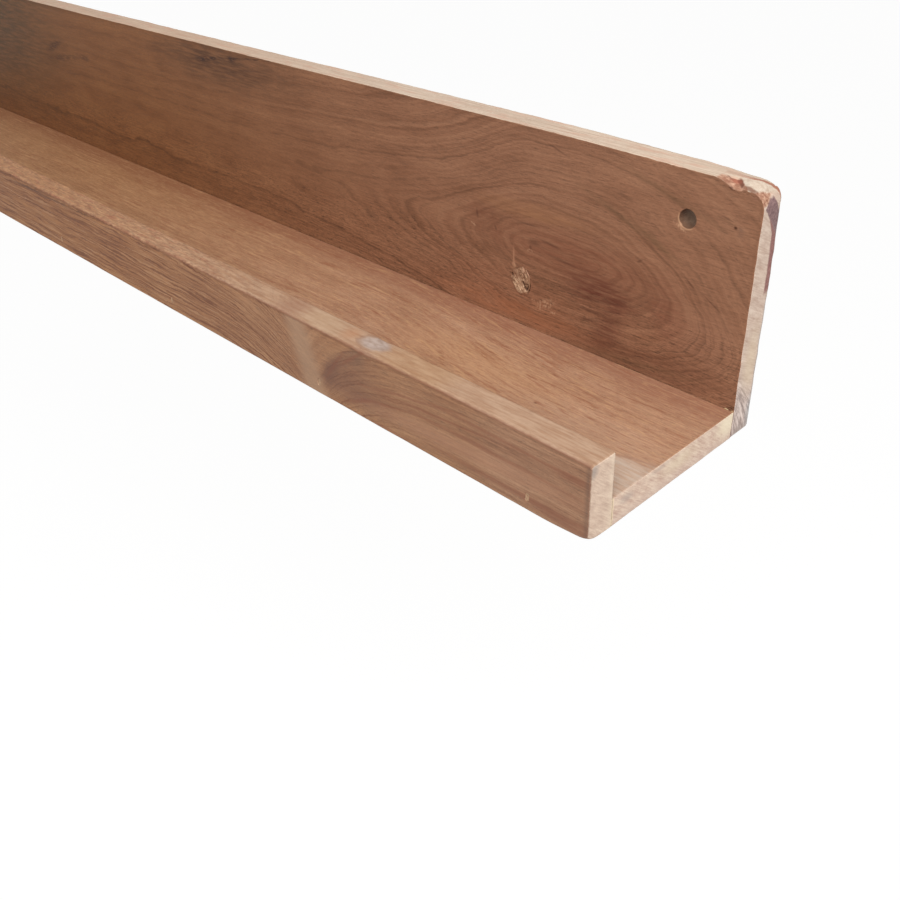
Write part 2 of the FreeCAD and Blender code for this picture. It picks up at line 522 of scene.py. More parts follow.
def material(name):
    """A new material's graph, with the place of each point and the way that its surface faces."""
    g = Graph(bpy.data.materials.new(name))
    place = g.node("ShaderNodeTexCoord")
    g.x, g.y, g.z = g.parts(g.shade(place.outputs["Object"], 1 / MM))
    g.nx, g.ny, g.nz = g.parts(place.outputs["Normal"])
    return g


# Wood


def bare_wood(g, ring, grain, lined, dark, middle, light):
    """Planed wood: its colour and its relief. Its rings follow the levels of ring. grain is how
    strong the short strokes are, and lined how strong the rings."""
    broad = g.line_noise(ring / 7.0) - 0.5
    bands = g.line_noise(ring / 2.3 + 40) - 0.5
    fine = g.line_noise(ring / 0.8 + 90) - 0.5
    lines = g.smooth(abs(g.line_noise(ring / 2.6 + 150) - 0.5), 0.035, 0.0)
    cloud = g.mottle(45, 15, 15) - 0.5
    fibre = g.mottle(18, 0.8, 0.8, 3.0, 0.6) - 0.5
    grit = g.mottle(1.5, 0.6, 0.6, 2.0, 0.65) - 0.5
    pores = g.smooth(g.mottle(4.5, 0.5, 0.5, 1.0), 0.6, 0.72)
    short = g.noise(g.x / 5, g.y / 0.75 + 30, g.z / 0.75 + 30, 2.0, 0.6) - 0.5
    tone = broad * 0.3 + bands * lined * 0.28 + cloud * 0.4 + fibre * 0.15 + 0.5
    colour = g.ramp(tone, (0.3, dark), (0.5, middle), (0.7, light))
    rings = fine * 0.17 - lines * 0.08
    strokes = fibre * 0.38 + short * 0.34 + grit * 0.42 - pores * 0.16
    relief = fibre * 0.5 + fine * 0.25 + grit * 0.3 + 0.6 - lines * 0.2 - pores * 0.4
    return g.shade(colour, strokes * grain + rings * lined + 1.04), relief


def end_wood(g, dark, light, lean):
    """Sanded end grain: soft mottling and faint strokes across it."""
    turn = math.radians(lean)
    along = g.y * math.cos(turn) + g.z * math.sin(turn)
    across = g.z * math.cos(turn) - g.y * math.sin(turn)
    strokes = g.noise(along / 9, across / 0.8, 0.0, 2.0, 0.6) - 0.5
    speckle = g.mottle(0.6, 0.7, 0.7, 2.0, 0.6) - 0.5
    cloud = g.noise(along / 9, across / 4, 3.0, 3.0, 0.6) - 0.5
    tone = strokes * 0.6 + cloud * 0.7 + speckle * 0.22 + 0.5
    return g.ramp(tone, (0.3, dark), (0.7, light))


def from_hanging_hole(g):
    return g.length(abs(g.x) - (near_x - hanging_hole_from_end), g.z)


def back_rings(g, slow, quick):
    """Nested ovals at the near end. To the left the rings run level."""
    x, y, z = g.x, g.y, g.z
    across = x - 388
    rightward = (g.length(g.math("SMOOTH_MAX", across, 0.0, 10.0), 40.0) - 40) * 0.6
    leftward = g.math("SMOOTH_MAX", -28 - across, 0.0, 20.0)
    leftward = (1.0 - g.math("EXPONENT", leftward / -72)) * 50
    droop = g.math("SMOOTH_MAX", x - 425, 0.0, 40.0) * 0.24
    rise = z + 40 + droop + (y + 16) * 0.45
    rise = rise * g.smooth(rise, -8, 8, 0.9, 1.0)
    rightward = rightward * g.smooth(rise, 5, 75, 1.0, 0.3)
    blunt = g.smooth(rise, 12, -12, 1.25, 1.8)
    total = g.power(rightward + leftward, blunt) + g.power(abs(rise), blunt)
    return g.power(total, g.math("DIVIDE", 1.0, blunt)) + slow * 9 + quick * 4.2


def back_wood():
    """Mid reddish brown with nested ovals, a pale top edge and paint left near one corner."""
    g = material("back_wood")
    x, y, z = g.x, g.y, g.z
    slow = g.mottle(90, 45, 30) - 0.5
    quick = g.mottle(24, 9, 7) - 0.5
    crumbs = g.mottle(2.2, 1.6, 1.2, 3.0, 0.6) - 0.5
    ring = back_rings(g, slow, quick)
    low_down = g.smooth(z + slow * 30, -42, -62)
    lined = g.smooth(x, 60, 300, 0.5, 1.2) * g.smooth(z + x * 0.4, 158, 176, 1.0, 0.55)
    colours = (122, 82, 59), (143, 100, 75), (156, 112, 85)
    wood, relief = bare_wood(g, ring, low_down * 0.5 + 1.2, lined, *colours)
    # Darker and yellower towards the far end: partly the wood's own tone, partly painted shade.
    wood = g.tint(wood, (0.84, 0.74, 0.5), g.smooth(x, 380, -130))
    thin = 0.0
    for at, width in ((4, 0.5), (8.5, 0.6), (12.5, 0.8), (16.5, 0.7), (24.5, 0.8), (36, 0.9), (45, 1.0),
                      (57, 1.0), (63, 0.8)):
        thin = g.smooth(abs(ring - at), width, width * 0.2) + thin
    broken = g.smooth(g.mottle(12, 6, 6, 1.0), 0.36, 0.56)
    wood = g.shade(wood, 1.0 - thin * broken * 0.17)
    wood = back_figure_and_shade(g, wood, quick)
    wood = g.shade(wood, (relief - 0.57) * low_down * 0.7 + 1.0)
    rim = g.smooth(abs(from_hanging_hole(g) - 5.1), 0.6, 0.2)
    wood = g.paint(wood, (180, 138, 106), rim * g.smooth(x * 0.7 + z, 323.0, 319.0) * 0.8)
    wood = back_top(g, wood, crumbs)
    wood = back_end(g, wood, crumbs)
    wood = old_paint_on_end(g, wood, crumbs)
    wood = worn_corner(g, wood, crumbs)
    wood = old_paint_on_rear(g, wood, crumbs)
    # Painted light and shade in the hanging holes' bores: dark painted shade at the front mouth, fading to a
    # pale painted glow deeper in.
    bore_light_and_shade = y / 22 + (g.mottle(0.8, 3, 0.8) - 0.5) * 0.3 + 1.0
    bore_light_and_shade = g.ramp(bore_light_and_shade, (0.3, (78, 52, 40)), (0.48, (112, 88, 72)), (0.66, (164, 138, 116)))
    wood = g.paint(wood, bore_light_and_shade, g.smooth(from_hanging_hole(g), 5.0, 4.6) * g.smooth(y, -15.9, -15.2))
    # Painted shade: near-black brown on the walls of the knot's pocket, round the filler.
    pocket = g.smooth(y, -15.6, -15.2) * g.smooth(y, -5, -8)
    wood = g.paint(wood, (60, 34, 22), pocket * g.spot(x, z, tuple(knot_centre), (10, 11), 0, 0.1))
    return g.finish(wood, 0.62 + (relief - 0.5) * 0.12, relief, 0.14)


def back_figure_and_shade(g, wood, quick):
    """Zones of colour, dark streaks, torn places and pale fluff on the back board, and a painted shadow over
    the far end.
    """
    x, z = g.x, g.z
    streaky = g.smooth(g.noise(x / 20, 3.0, z / 2.0, 2.0, 0.6), 0.35, 0.65, 0.5, 1.4)
    wood = g.dabs(wood, x, z, (
        (390, -39, 50, 12, 0, (128, 76, 55), 0.4), (412, -54, 22, 9, -5, (102, 56, 41), 0.7),
        (418, -77, 13, 7, 60, (100, 56, 42), 0.6), (455, -52, 9, 15, 20, (124, 74, 56), 0.35),
        (362, -21, 34, 4, 2, (164, 116, 82), 0.5), (352, -84, 52, 7, 0, (170, 111, 78), 0.5),
        (345, -70, 40, 9, 0, (150, 95, 68), 0.2), (478, -60, 16, 14, 40, (154, 110, 86), 0.4),
        (445, -84, 45, 9, 3, (112, 72, 52), 0.5), (70, 14, 70, 14, 0, (84, 56, 38), 0.65),
        # The dark oval at (-330, 10) is a painted shadow over the far end.
        (-330, 10, 120, 70, 0, (84, 60, 34), 0.75), (325, -33, 9, 8, 20, (116, 70, 50), 0.4),
        (337, -36, 4, 8, 20, (112, 66, 47), 0.35), (487.1, 2.2, 0.8, 0.8, 0, (72, 38, 22), 0.9),
        (490, 0.4, 1.6, 2.6, 15, (118, 88, 72), 0.5)), streaky)
    wood = g.marks(wood, x, z, (112, 84, 58), 0.28, (
        (427, -10, 28, 1.8, -20), (450, 9, 26, 1.6, -17), (434, -87, 34, 2.0, 5),
        (447, -17, 12, 1.6, -30), (482, 4.4, 2.6, 0.6, -15)))
    wood = g.marks(wood, x, z, (78, 46, 34), 0.5, (
        (381, 16.5, 5.5, 0.5, -18), (363.5, -41.5, 0.9, 1.1, 0), (362, -28.6, 6, 0.5, 0),
        (467.5, -32, 3.6, 0.5, -38), (481.7, 5.7, 2.6, 0.4, -15), (480, -38, 5.0, 0.4, -30),
        (460.5, -67, 1.4, 0.5, 10), (436.5, -28.5, 1.5, 0.6, 30), (322.5, -32, 0.8, 2.2, 8),
        (337.0, -37, 0.7, 1.5, 25), (366, -38, 4, 1.6, 5), (378, -36, 7, 0.7, -8),
        (386, -43, 9, 0.8, -5), (408, -66, 8, 1.0, 0), (405, -72, 6, 0.9, 5)))
    torn = g.smooth(g.noise(x / 7, 3.0, z / 1.1, 2.0, 0.6), 0.36, 0.56)
    dark = (56, 34, 26)
    wood = g.dabs(wood, x + quick * 6, z + quick * 2, (
        (52, 14.6, 8, 1.7, 8, dark, 0.95), (64, 16.6, 4, 1.2, 5, dark, 0.9),
        (88, 19.2, 4, 1.8, 0, dark, 0.95), (112, 22.4, 28, 0.6, 6, dark, 0.7),
        (-195, -9.5, 14, 2.6, 20, dark, 0.7), (-180, -17, 26, 2.4, 8, dark, 0.5),
        (-140, -12, 7, 2.2, 0, dark, 0.6)), torn, 0.7)
    fluff = g.smooth(g.noise(x / 1.3, 5.0, z / 2.4, 1.0), 0.42, 0.62)
    wood = g.marks(wood, x, z, (204, 160, 126), 0.65, (
        (374.5, -73, 6.0, 2.4, 30), (380.7, -76.3, 1.8, 0.7, 0), (363, -43.6, 1.6, 0.8, 0),
        (319, -39, 2.0, 0.6, -20), (351.3, -55.4, 1.3, 1.2, 0), (366, -73, 1.2, 0.5, 0),
        (457.6, -4.8, 3.4, 0.7, -28)), fluff)
    return g.dabs(wood, x, z, ((350.9, -50.5, 0.6, 5.4, 0, (184, 134, 104), 0.6),
                               (351.2, -55, 1.3, 2.0, 0, (188, 140, 108), 0.5)))


def back_top(g, wood, crumbs):
    """The pale top edge."""
    upward = g.smooth(g.nz + (g.mottle(5, 1.2, 1.2) - 0.5) * 0.7, 0.22, 0.6)
    streak = g.mottle(30, 1.1, 1.1, 3.0, 0.6) + crumbs * 0.3
    top = g.ramp(streak, (0.3, (189, 163, 141)), (0.7, (221, 199, 177)))
    pinkish = g.noise(g.x / 22, g.y / 4, 2.0, 3.0, 0.6)
    top = g.paint(top, (206, 160, 136), g.smooth(pinkish, 0.5, 0.64) * 0.5)
    top = g.tint(top, (0.97, 0.89, 0.83), g.smooth(g.x, 300, 0))
    return g.paint(wood, top, upward * g.smooth(g.z, top_z - 16, top_z - 13))


def back_end(g, wood, crumbs):
    """The sanded ends, with a lilac fan of grain at the foot."""
    y, z = g.y, g.z
    end = end_wood(g, (192, 163, 145), (230, 208, 190), -28)
    end = g.dabs(end, y, z, ((-7, -68, 5, 18, 0, (230, 208, 176), 0.45),))
    end = g.paint(end, (172, 164, 162), g.smooth(y + crumbs * 2, -2.6, -0.8) * g.smooth(z, -28, -36) * 0.6)
    foot = g.smooth(z + (y + 16) * 0.8, -66, -84)
    across = z * 0.53 + y * 0.85 + (z + 92) * (z + 92) / 90
    fan = g.noise((y * 0.53 - z * 0.85) / 12, across / 2.0, 2.0, 4.0, 0.65)
    lilac = g.ramp(fan, (0.39, (146, 128, 124)), (0.5, (200, 180, 171)), (0.59, (238, 220, 211)))
    end = g.paint(end, lilac, foot * 0.85)
    end = g.dabs(end, y, z, ((-8.5, -105, 5, 2.6, 0, (140, 124, 116), 0.55),
                             (-1, -97, 3, 9, 0, (150, 154, 156), 0.5)))
    sides = g.smooth(abs(g.nx) + crumbs * 0.2, 0.7, 0.92)
    return g.paint(wood, end, sides * g.smooth(abs(g.x), near_x - 16, near_x - 13))


def old_paint_on_end(g, wood, crumbs):
    """What is left of purplish paint on the near end, and a maroon stripe below it."""
    x, y, z = g.x, g.y, g.z
    ragged = (g.noise(y / 2.6, z / 2.6, 7.0, 2.0, 0.6) - 0.5) * 3.0
    on_end = g.smooth(x, near_x - 3, near_x - 1.5) * g.smooth(y, -15.6, -15.2)
    above = (y + 14.1) * 1.15 + z - 13 + ragged
    below = g.math("MINIMUM", y + 28.3, 17.6)
    below = g.math("MINIMUM", below, y * -1.48 + 7.5) - z + ragged * 0.5
    patch = g.smooth(above, -0.5, 0.7) * g.smooth(below, -0.4, 0.8)
    left = g.math("MINIMUM", -5.6 - z * 0.55, g.smooth(z, -4, -18, 0.0, 0.7) - 5.4)
    stripe = g.smooth(y - left + ragged * 0.3, -0.5, 0.6)
    stripe = stripe * g.smooth(z + ragged, -32, -28.5) * g.smooth(z, 12, 8)
    purple = g.ramp(crumbs + 0.5, (0.32, (112, 84, 84)), (0.66, (151, 120, 117)))
    maroon = g.ramp(crumbs + 0.5, (0.32, (128, 84, 78)), (0.66, (162, 118, 110)))
    wood = g.paint(wood, maroon, stripe * on_end)
    return g.paint(wood, purple, patch * on_end)


def old_paint_on_rear(g, wood, crumbs):
    """Flakes of the same paint on the wall face."""
    flakes = g.noise(g.x / 60, 9.0, g.z / 16, 8.0, 0.62) + crumbs * 0.05
    left = g.smooth(flakes + (g.z + 30) / 900, 0.492, 0.51)
    faded = g.ramp(g.noise(g.x / 18, 2.0, g.z / 9, 3.0), (0.35, (118, 84, 82)), (0.65, (150, 126, 124)))
    return g.paint(wood, faded, g.smooth(g.ny, 0.35, 0.65) * left * 0.8)


def worn_corner(g, wood, crumbs):
    """The chipped corner: bare orange wood before a ridge, with a pale flake, a red spot and
    a small step with painted shade in it."""
    x, y, z = g.x, g.y, g.z
    rag = crumbs * 1.6
    turned = g.smooth(g.ny + crumbs * 0.1, -0.96, -0.86)
    chipped = turned * g.smooth(x + rag, 473.5, 475.5) * g.smooth(z + rag, 14.2, 15.6)
    ridge_y = g.math("MAXIMUM", x - 489.5, 0.0) * 0.8 - 8.4
    before = ridge_y - y + rag * 0.6
    orange = g.ramp(crumbs + 0.5, (0.36, (146, 100, 78)), (0.48, (172, 126, 102)), (0.62, (200, 158, 132)))
    beige_end = g.smooth(y + rag, -8.0, -4.4) * g.smooth(x + rag, 495.8, 498.4)
    paint_line = g.smooth((y + 14.1) * 0.75 + 14.6 - z + rag, 1.4, -0.8)
    bare = g.smooth(before - g.smooth(x, 488, 486) * 2.5, -0.4, 2.4) * (1.0 - beige_end) * paint_line
    wood = g.paint(wood, orange, chipped * bare)
    flake = g.smooth(before, 0.4, 1.3) * g.smooth(x + (y + 11.1) * 1.19 + rag, 484.4, 485.3)
    flake = flake * g.smooth((y + 14.5) * 0.44 + 495.0 - x + rag * 1.6, -0.8, 1.2)
    flake = flake * g.smooth(x, 498.4, 496.6)
    pale = g.ramp(crumbs + 0.5, (0.35, (194, 172, 152)), (0.65, (214, 197, 178)))
    wood = g.paint(wood, pale, flake * chipped)
    brow = g.smooth(abs(before), 2.8, 0.8) * g.smooth(x, 478, 490, 0.3, 0.75) * g.smooth(before, 1.4, 0.4)
    wood = g.paint(wood, (176, 126, 102), brow * chipped)
    brow = g.smooth(abs(before + 0.5 + rag * 0.5), 1.9, 0.6) * g.smooth(x, 487, 491, 0.15, 0.9)
    wood = g.paint(wood, (160, 104, 82), brow * chipped)
    lower = g.smooth(y, -14.6, -15.6) * chipped * g.smooth(x, 488, 484)
    wood = g.paint(wood, (150, 104, 80), lower * 0.6)
    # The dark oval at (485.4, -12.7) is painted shade in the small step at the flake's left edge.
    wood = g.dabs(wood, x + rag * 0.5, y, (
        (482.4, -12.7, 2.6, 1.1, 8, (158, 92, 70), 0.9), (485.4, -12.7, 2.7, 0.9, -41, (104, 62, 46), 0.95),
        (484.2, -12.2, 1.3, 0.9, -30, (132, 74, 56), 0.8), (479.2, -12.4, 2.0, 0.35, -18, (132, 92, 74), 0.8),
        (480.9, -11.3, 2.1, 0.65, 0, (214, 180, 156), 0.9)), chipped, 0.5)
    wood = g.dabs(wood, x, z, ((482.1, 20.0, 1.1, 0.5, -10, (96, 58, 44), 0.7),), None, 0.6)
    # Painted shadow: a dark brown line on the front face under the pale flake.
    under = g.spot(x, z + rag * 0.4, (491.6, 21.0), (3.4, 0.7), -12, 0.6)
    wood = g.paint(wood, (118, 76, 56), under * g.smooth(y, -13.5, -14.5) * 0.85)
    below = g.smooth(y, -14.5, -15.5)
    return g.dabs(wood, x, z, ((495.0, 18.8, 2.4, 1.8, 0, (146, 102, 80), 0.5),), below)


def bottom_wood():
    """Reddish tan with fine straight pores and a paler corner."""
    g = material("bottom_wood")
    x, y, z = g.x, g.y, g.z
    slow = g.mottle(110, 30, 30) - 0.5
    quick = g.mottle(30, 6, 6) - 0.5
    sweep = g.smooth(x, 455, 250, 0.0, 26.0)
    ring = (y + 113) * 0.8 + z * 0.7 - sweep + slow * 7 + quick * 1.6
    wood, relief = bare_wood(g, ring, 1.2, 0.4, (154, 112, 86), (175, 133, 105), (190, 150, 122))
    ripple = g.mottle(7, 2.5, 2.5)
    strands = g.noise(x / 32, ring / 1.7 + ripple * 1.2, 5.0, 3.0, 0.6)
    patchy = g.smooth(g.noise(x / 55, y / 12, 7.0), 0.38, 0.6, 0.25, 1.0) * g.smooth(x, 490, 420, 0.4, 1.0)
    flecks = g.noise(x / 7, y / 1.0, z / 1.0 + 9, 3.0, 0.65)
    wood = g.paint(wood, (151, 104, 81), g.smooth(y + slow * 24, -42, -22) * 0.7)
    # Darker and yellower towards the far end: partly the wood's own tone, partly painted shade.
    wood = g.tint(wood, (0.9, 0.82, 0.62), g.smooth(x, 380, -130))
    wood = g.dabs(wood, x, y, ((368, -66, 52, 16, 0, (190, 144, 104), 0.45),
                               (450, -76, 40, 9, 0, (184, 148, 122), 0.45)))
    wood = g.marks(wood, x, y + quick * 4, (134, 82, 56), 0.5, (
        (370, -42.5, 16, 0.7, -3), (365, -52, 20, 0.9, -12), (425, -48, 34, 0.5, 0),
        (425, -57, 40, 0.8, -1), (440, -69, 30, 0.6, 0), (400, -33, 40, 0.6, 0),
        (455, -40, 36, 0.5, 1), (352, -76, 9, 1.4, -38)), g.smooth(flecks, 0.3, 0.6))
    for grain, amount in ((flecks, 0.4), (strands, patchy * 0.5)):
        wood = g.paint(wood, (146, 90, 62), g.smooth(grain, 0.51, 0.66) * amount)
        wood = g.paint(wood, (208, 162, 118), g.smooth(grain, 0.47, 0.34) * amount * 0.8)
    pale_edge = y + 97 - g.smooth(x, 440, 505, 0.0, 15.0) + quick * 4
    wash = (g.noise(x / 14, y / 2, 4.0, 3.0) - 0.5) * 2.2 + 0.85
    wash = g.smooth(pale_edge, 6.0, -4.0) * g.smooth(x, 380, 484) * wash
    wood = g.paint(wood, (199, 177, 158), wash * 0.85)
    rim = g.smooth(abs(pale_edge - 2.5), 1.6, 0.0) * g.smooth(x, 420, 480)
    wood = g.paint(wood, (142, 98, 76), rim * 0.3)
    wood = g.dabs(wood, x, y, ((421, -76, 1.0, 0.7, 0, (104, 66, 48), 0.6),), None, 0.7)

    end = end_wood(g, (198, 163, 145), (243, 220, 197), -36)
    cream = g.spot(y + quick * 6, z + quick * 9, (-19.5, -95), (9, 8), 20, 0.7)
    end = g.paint(end, (252, 236, 206), cream * 0.75)
    end = g.paint(end, (244, 224, 184), g.smooth(y - bottom_low[1], 1.0, 0.2) * 0.7)
    end = g.dabs(end, y, z, ((-62, -97, 12, 4, 0, (230, 210, 180), 0.5),
                             (-103, -96, 4.5, 2.2, -10, (166, 148, 140), 0.5),
                             (-78, -93, 6, 1.2, 0, (176, 154, 142), 0.4)))
    end = g.paint(end, (206, 178, 164), g.smooth(z, -99, -106) * 0.4)
    wood = g.paint(wood, end, g.smooth(abs(g.nx) + quick * 0.1, 0.7, 0.92))
    return g.finish(wood, 0.6 + (relief - 0.5) * 0.14, relief, 0.14)


def lip_wood():
    """Brown face whose grain dips in the middle, with a paler sanded top."""
    g = material("lip_wood")
    x, y, z = g.x, g.y, g.z
    slow = g.mottle(90, 30, 30) - 0.5
    quick = g.mottle(26, 6, 6) - 0.5
    seam = x - 303 + (z + 66) * 0.32 + quick * 5
    fall = g.math("EXPONENT", seam / 33) * 45
    climb = g.math("EXPONENT", seam / -44) * 36
    dip = g.math("SMOOTH_MIN", fall, climb, 4.0)
    ring = z * 0.8 + y * 0.35 + dip * 0.8 + slow * 3 + quick * g.smooth(x, 430, 330, 1.2, 3.2)
    lined = g.smooth(x, 420, 340, 1.1, 0.8)
    wood, relief = bare_wood(g, ring, 1.25, lined, (136, 95, 71), (157, 117, 90), (173, 134, 105))
    wood = g.tint(wood, (0.96, 0.79, 0.56), g.smooth(x, 480, 20))
    wood = g.tint(wood, (0.97, 0.93, 0.86), g.smooth(abs(x - 375), 80, 40))
    border = x - 312 - (z + 97) * (z + 97) / 34 + quick * 6
    clear = g.smooth(seam, -12, 2) * g.smooth(border, 5, -1)
    ripple = g.mottle(5, 1.6, 1.6)
    strands = g.noise(x / 55, ring / 1.1 + ripple * 1.2, 5.0, 3.0, 0.6)
    dark = g.smooth(strands, 0.5, 0.62) * (1.0 - clear) * g.smooth(x, 430, 280, 0.15, 0.8)
    wood = g.paint(wood, (106, 60, 38), dark * g.smooth(abs(seam + 8), 4, 28, 0.2, 1.0))
    wood = g.paint(wood, (184, 140, 104), g.smooth(strands, 0.47, 0.36) * g.smooth(x, 330, 200) * 0.6)
    shadow = g.smooth(border, 0.0, 6.0) * g.smooth(x + (z + 85) * 0.5, 380, 335) * g.smooth(z, -106, -94)
    wood = g.paint(wood, (110, 76, 63), shadow * 0.45)
    wood = g.dabs(wood, x + ripple * 4, z, ((323, -87, 5, 12, -35, (100, 68, 58), 0.45),))
    wood = g.dabs(wood, x, z, ((346, -69, 5, 7, 0, (112, 88, 72), 0.35),))
    wood = g.paint(wood, (177, 145, 118), g.smooth(abs(seam + 10), 15, 3) * 0.5)
    wood = g.dabs(wood, x, z, ((425, -92, 65, 4.5, 3, (178, 132, 104), 0.45),))
    wood = g.marks(wood, x, z + quick * 3.0 + slow * 2.0, (130, 78, 57), 0.48, (
        (455, -75, 54, 0.9, 0), (385, -79, 34, 0.9, 10), (490, -76.5, 8, 1.7, 0),
        (440, -85.2, 62, 1.1, 0), (366, -91, 18, 1.0, 15), (462, -100, 52, 1.5, 0),
        (410, -80.5, 40, 0.7, 5), (345, -97, 14, 1.1, 22), (366, -105.6, 9, 0.9, 0),
        (326, -82, 12, 1.2, 50), (342, -72, 14, 1.0, 38)))
    # Painted shade on the front face over its last few millimetres before the near end.
    shade_before_end = g.smooth(x, near_x - 4, near_x - 1) * g.smooth(y, -128.5, -130)
    wood = g.paint(wood, (104, 80, 68), shade_before_end * 0.45)

    crumbs = g.mottle(3, 1.4, 1.4) - 0.5
    turned = g.nz + crumbs * g.smooth(x, 320, 150, 0.2, 0.7)
    frontal = g.smooth(abs(g.nx), 0.45, 0.15)
    top = lip_top(g, wood)
    # Painted shade on the rounded arris between the front and the top, strongest where it turns up towards
    # the lamp, and a lighter painted shade on the top's front edge.
    wood = g.shade(wood, 1.0 - g.smooth(turned, 0.1, 0.6) * frontal * 0.36)
    top = g.shade(top, 1.0 - g.smooth(turned, 0.98, 0.75) * frontal * 0.2)
    wood = g.paint(wood, top, g.smooth(turned + abs(g.nx) * 0.5, 0.66, 0.84))
    wood = g.paint(wood, (132, 84, 63), g.smooth(abs(turned - 0.74), 0.3, 0.06) * frontal * 0.5)
    wood = g.dabs(wood, x, z, ((484, -102.5, 20, 2.6, -6, (130, 82, 62), 0.5),))
    wood = g.marks(wood, x, z + ripple * 3.0 - 1.5, (84, 50, 36), 0.7, (
        (-36, -68.6, 24, 1.0, 2), (6, -68.4, 20, 0.8, 2), (46, -67.4, 14, 0.6, 2)))
    bruise = g.mottle(6.0, 3.0, 3.0)
    reach = g.length((x - lip_dent_x) / 11.0, (y + 119.5) / 6.5) + (bruise - 0.5) * 0.7
    scar = g.ramp(bruise + crumbs * 0.3, (0.35, (164, 142, 130)), (0.62, (188, 170, 160)))
    above = g.smooth(z, -69.5, -67.5)
    rim = g.smooth(abs(reach - 1.0), 0.25, 0.05) * g.smooth(x, 352, 344)
    wood = g.paint(wood, (136, 98, 78), rim * above * 0.4)
    wood = g.paint(wood, scar, g.smooth(reach, 1.15, 0.6) * above * 0.85)

    end = end_wood(g, (199, 169, 149), (236, 211, 188), -40)
    end = g.dabs(end, y, z, ((-128.5, -68, 2.6, 3.6, 0, (160, 146, 138), 0.7),))
    end = g.paint(end, (242, 220, 194), g.smooth(y + crumbs * 3, -119, -114) * 0.4)
    glued = g.smooth(lip_high[1] - y, 0.9, 0.2) * g.smooth(z, shelf_z + 1, shelf_z)
    end = g.paint(end, (244, 224, 184), glued * 0.7)
    sides = g.smooth(abs(g.nx) + crumbs * 0.2, 0.7, 0.92) * g.smooth(y + crumbs, -130.4, -129)
    wood = g.paint(wood, end, sides)
    return g.finish(wood, 0.6 + (relief - 0.5) * 0.14, relief, 0.14)


def lip_top(g, wood):
    """The lip's paler top, rougher towards the far end."""
    x, y = g.x, g.y
    top = g.tint(wood, (1.22, 1.24, 1.27), 1.0)
    wash = g.ramp(g.noise(x / 22, y / 2.2, 8.0, 3.0, 0.6), (0.36, (168, 132, 105)), (0.6, (190, 159, 133)))
    wash = g.tint(wash, (0.95, 0.77, 0.57), g.smooth(x, 390, -60))
    wash = g.tint(wash, (0.95, 0.9, 0.8), g.smooth(abs(x - 383), 34, 12))
    top = g.paint(top, wash, 0.84)
    rough = g.smooth(x, 290, 140)
    top = g.shade(top, (g.noise(x / 9, y / 1.6, 4.0, 3.0, 0.7) - 0.5) * rough * 1.7 + 1.03)
    reddish = g.smooth(g.noise(x / 14, y / 2.2, 6.0, 3.0, 0.6), 0.52, 0.66)
    top = g.paint(top, (172, 112, 84), reddish * rough * 0.6)
    top = g.dabs(top, x, y, ((309, -121, 17, 11, -35, (196, 166, 134), 0.4),), None, 0.9)
    return g.dabs(top, x, y, ((282, -122, 9, 14, -20, (156, 112, 88), 0.5),
                              (331, -121, 5, 5, -40, (186, 134, 98), 0.5)))


def filler_paste():
    """Tan filler with a few darker grains."""
    g = material("filler_paste")
    grains = g.mottle(0.5, 0.5, 0.9, 3.0, 0.6)
    cloud = g.mottle(2.5, 2.5, 2.5, 1.0)
    colour = g.ramp(grains * 0.6 + cloud * 0.4, (0.35, (160, 122, 94)), (0.62, (196, 162, 130)))
    return g.finish(colour, 0.75, grains, 0.2)


def splintered_wood():
    """Pale broken fibres, brown where they meet the board, with painted shade where they go deep."""
    g = material("splintered_wood")
    x, z = g.x, g.z
    fibres = g.noise((x + z * 0.4) / 0.7, g.y / 0.6, z / 2.4, 3.0, 0.65)
    tone = fibres * 0.65 + g.mottle(2.2, 2.2, 2.2) * 0.35
    colour = g.ramp(tone, (0.36, (120, 82, 58)), (0.48, (162, 122, 94)), (0.62, (206, 170, 138)))
    # The dark ovals at (358.4, -64.6), in the pit by the slit, and at (350.6, -64.2), on the left edge, are
    # painted shade.
    colour = g.dabs(colour, x, z, (
        (352.8, -59.5, 3.2, 3.6, 0, (140, 98, 74), 0.65), (357.0, -61.0, 2.4, 2.6, 30, (138, 100, 76), 0.5),
        (359.6, -71.2, 2.4, 1.3, 10, (136, 90, 66), 0.8), (355.0, -68.6, 2.8, 3.8, 30, (208, 172, 140), 0.5),
        (362.0, -67.0, 0.8, 3.0, -8, (196, 160, 130), 0.6), (358.4, -64.6, 1.4, 0.9, -30, (90, 54, 34), 0.8),
        (360.9, -64.6, 0.8, 0.7, 0, (96, 60, 40), 0.7), (356.3, -58.6, 1.2, 0.5, 20, (104, 70, 48), 0.6),
        (359.3, -60.0, 0.4, 1.8, 24, (98, 64, 42), 0.7), (361.6, -59.0, 0.4, 1.5, 24, (98, 64, 42), 0.6),
        (350.6, -64.2, 0.6, 1.2, 10, (104, 68, 46), 0.6)), None, 0.7)
    rim = g.length((x - 356.7) / 7.1, (z + 63.6) / 8.4) + (fibres - 0.5) * 0.7
    colour = g.paint(colour, (138, 94, 68), g.smooth(rim, 0.84, 1.0) * 0.75)
    colour = g.dabs(colour, x, z, ((362.2, -57.9, 3.0, 0.7, -58, (190, 146, 120), 0.8),
                                   (358.6, -56.6, 2.6, 0.6, -80, (190, 146, 120), 0.7)), None, 0.6)
    # Painted shade: dark brown where the fibres lie deep in the hole.
    deep = g.smooth(g.y, back_low[1] + 0.15, back_low[1] + 1.0)
    colour = g.paint(colour, (78, 42, 26), deep * 0.8)
    return g.finish(colour, 0.8, fibres, 0.25)


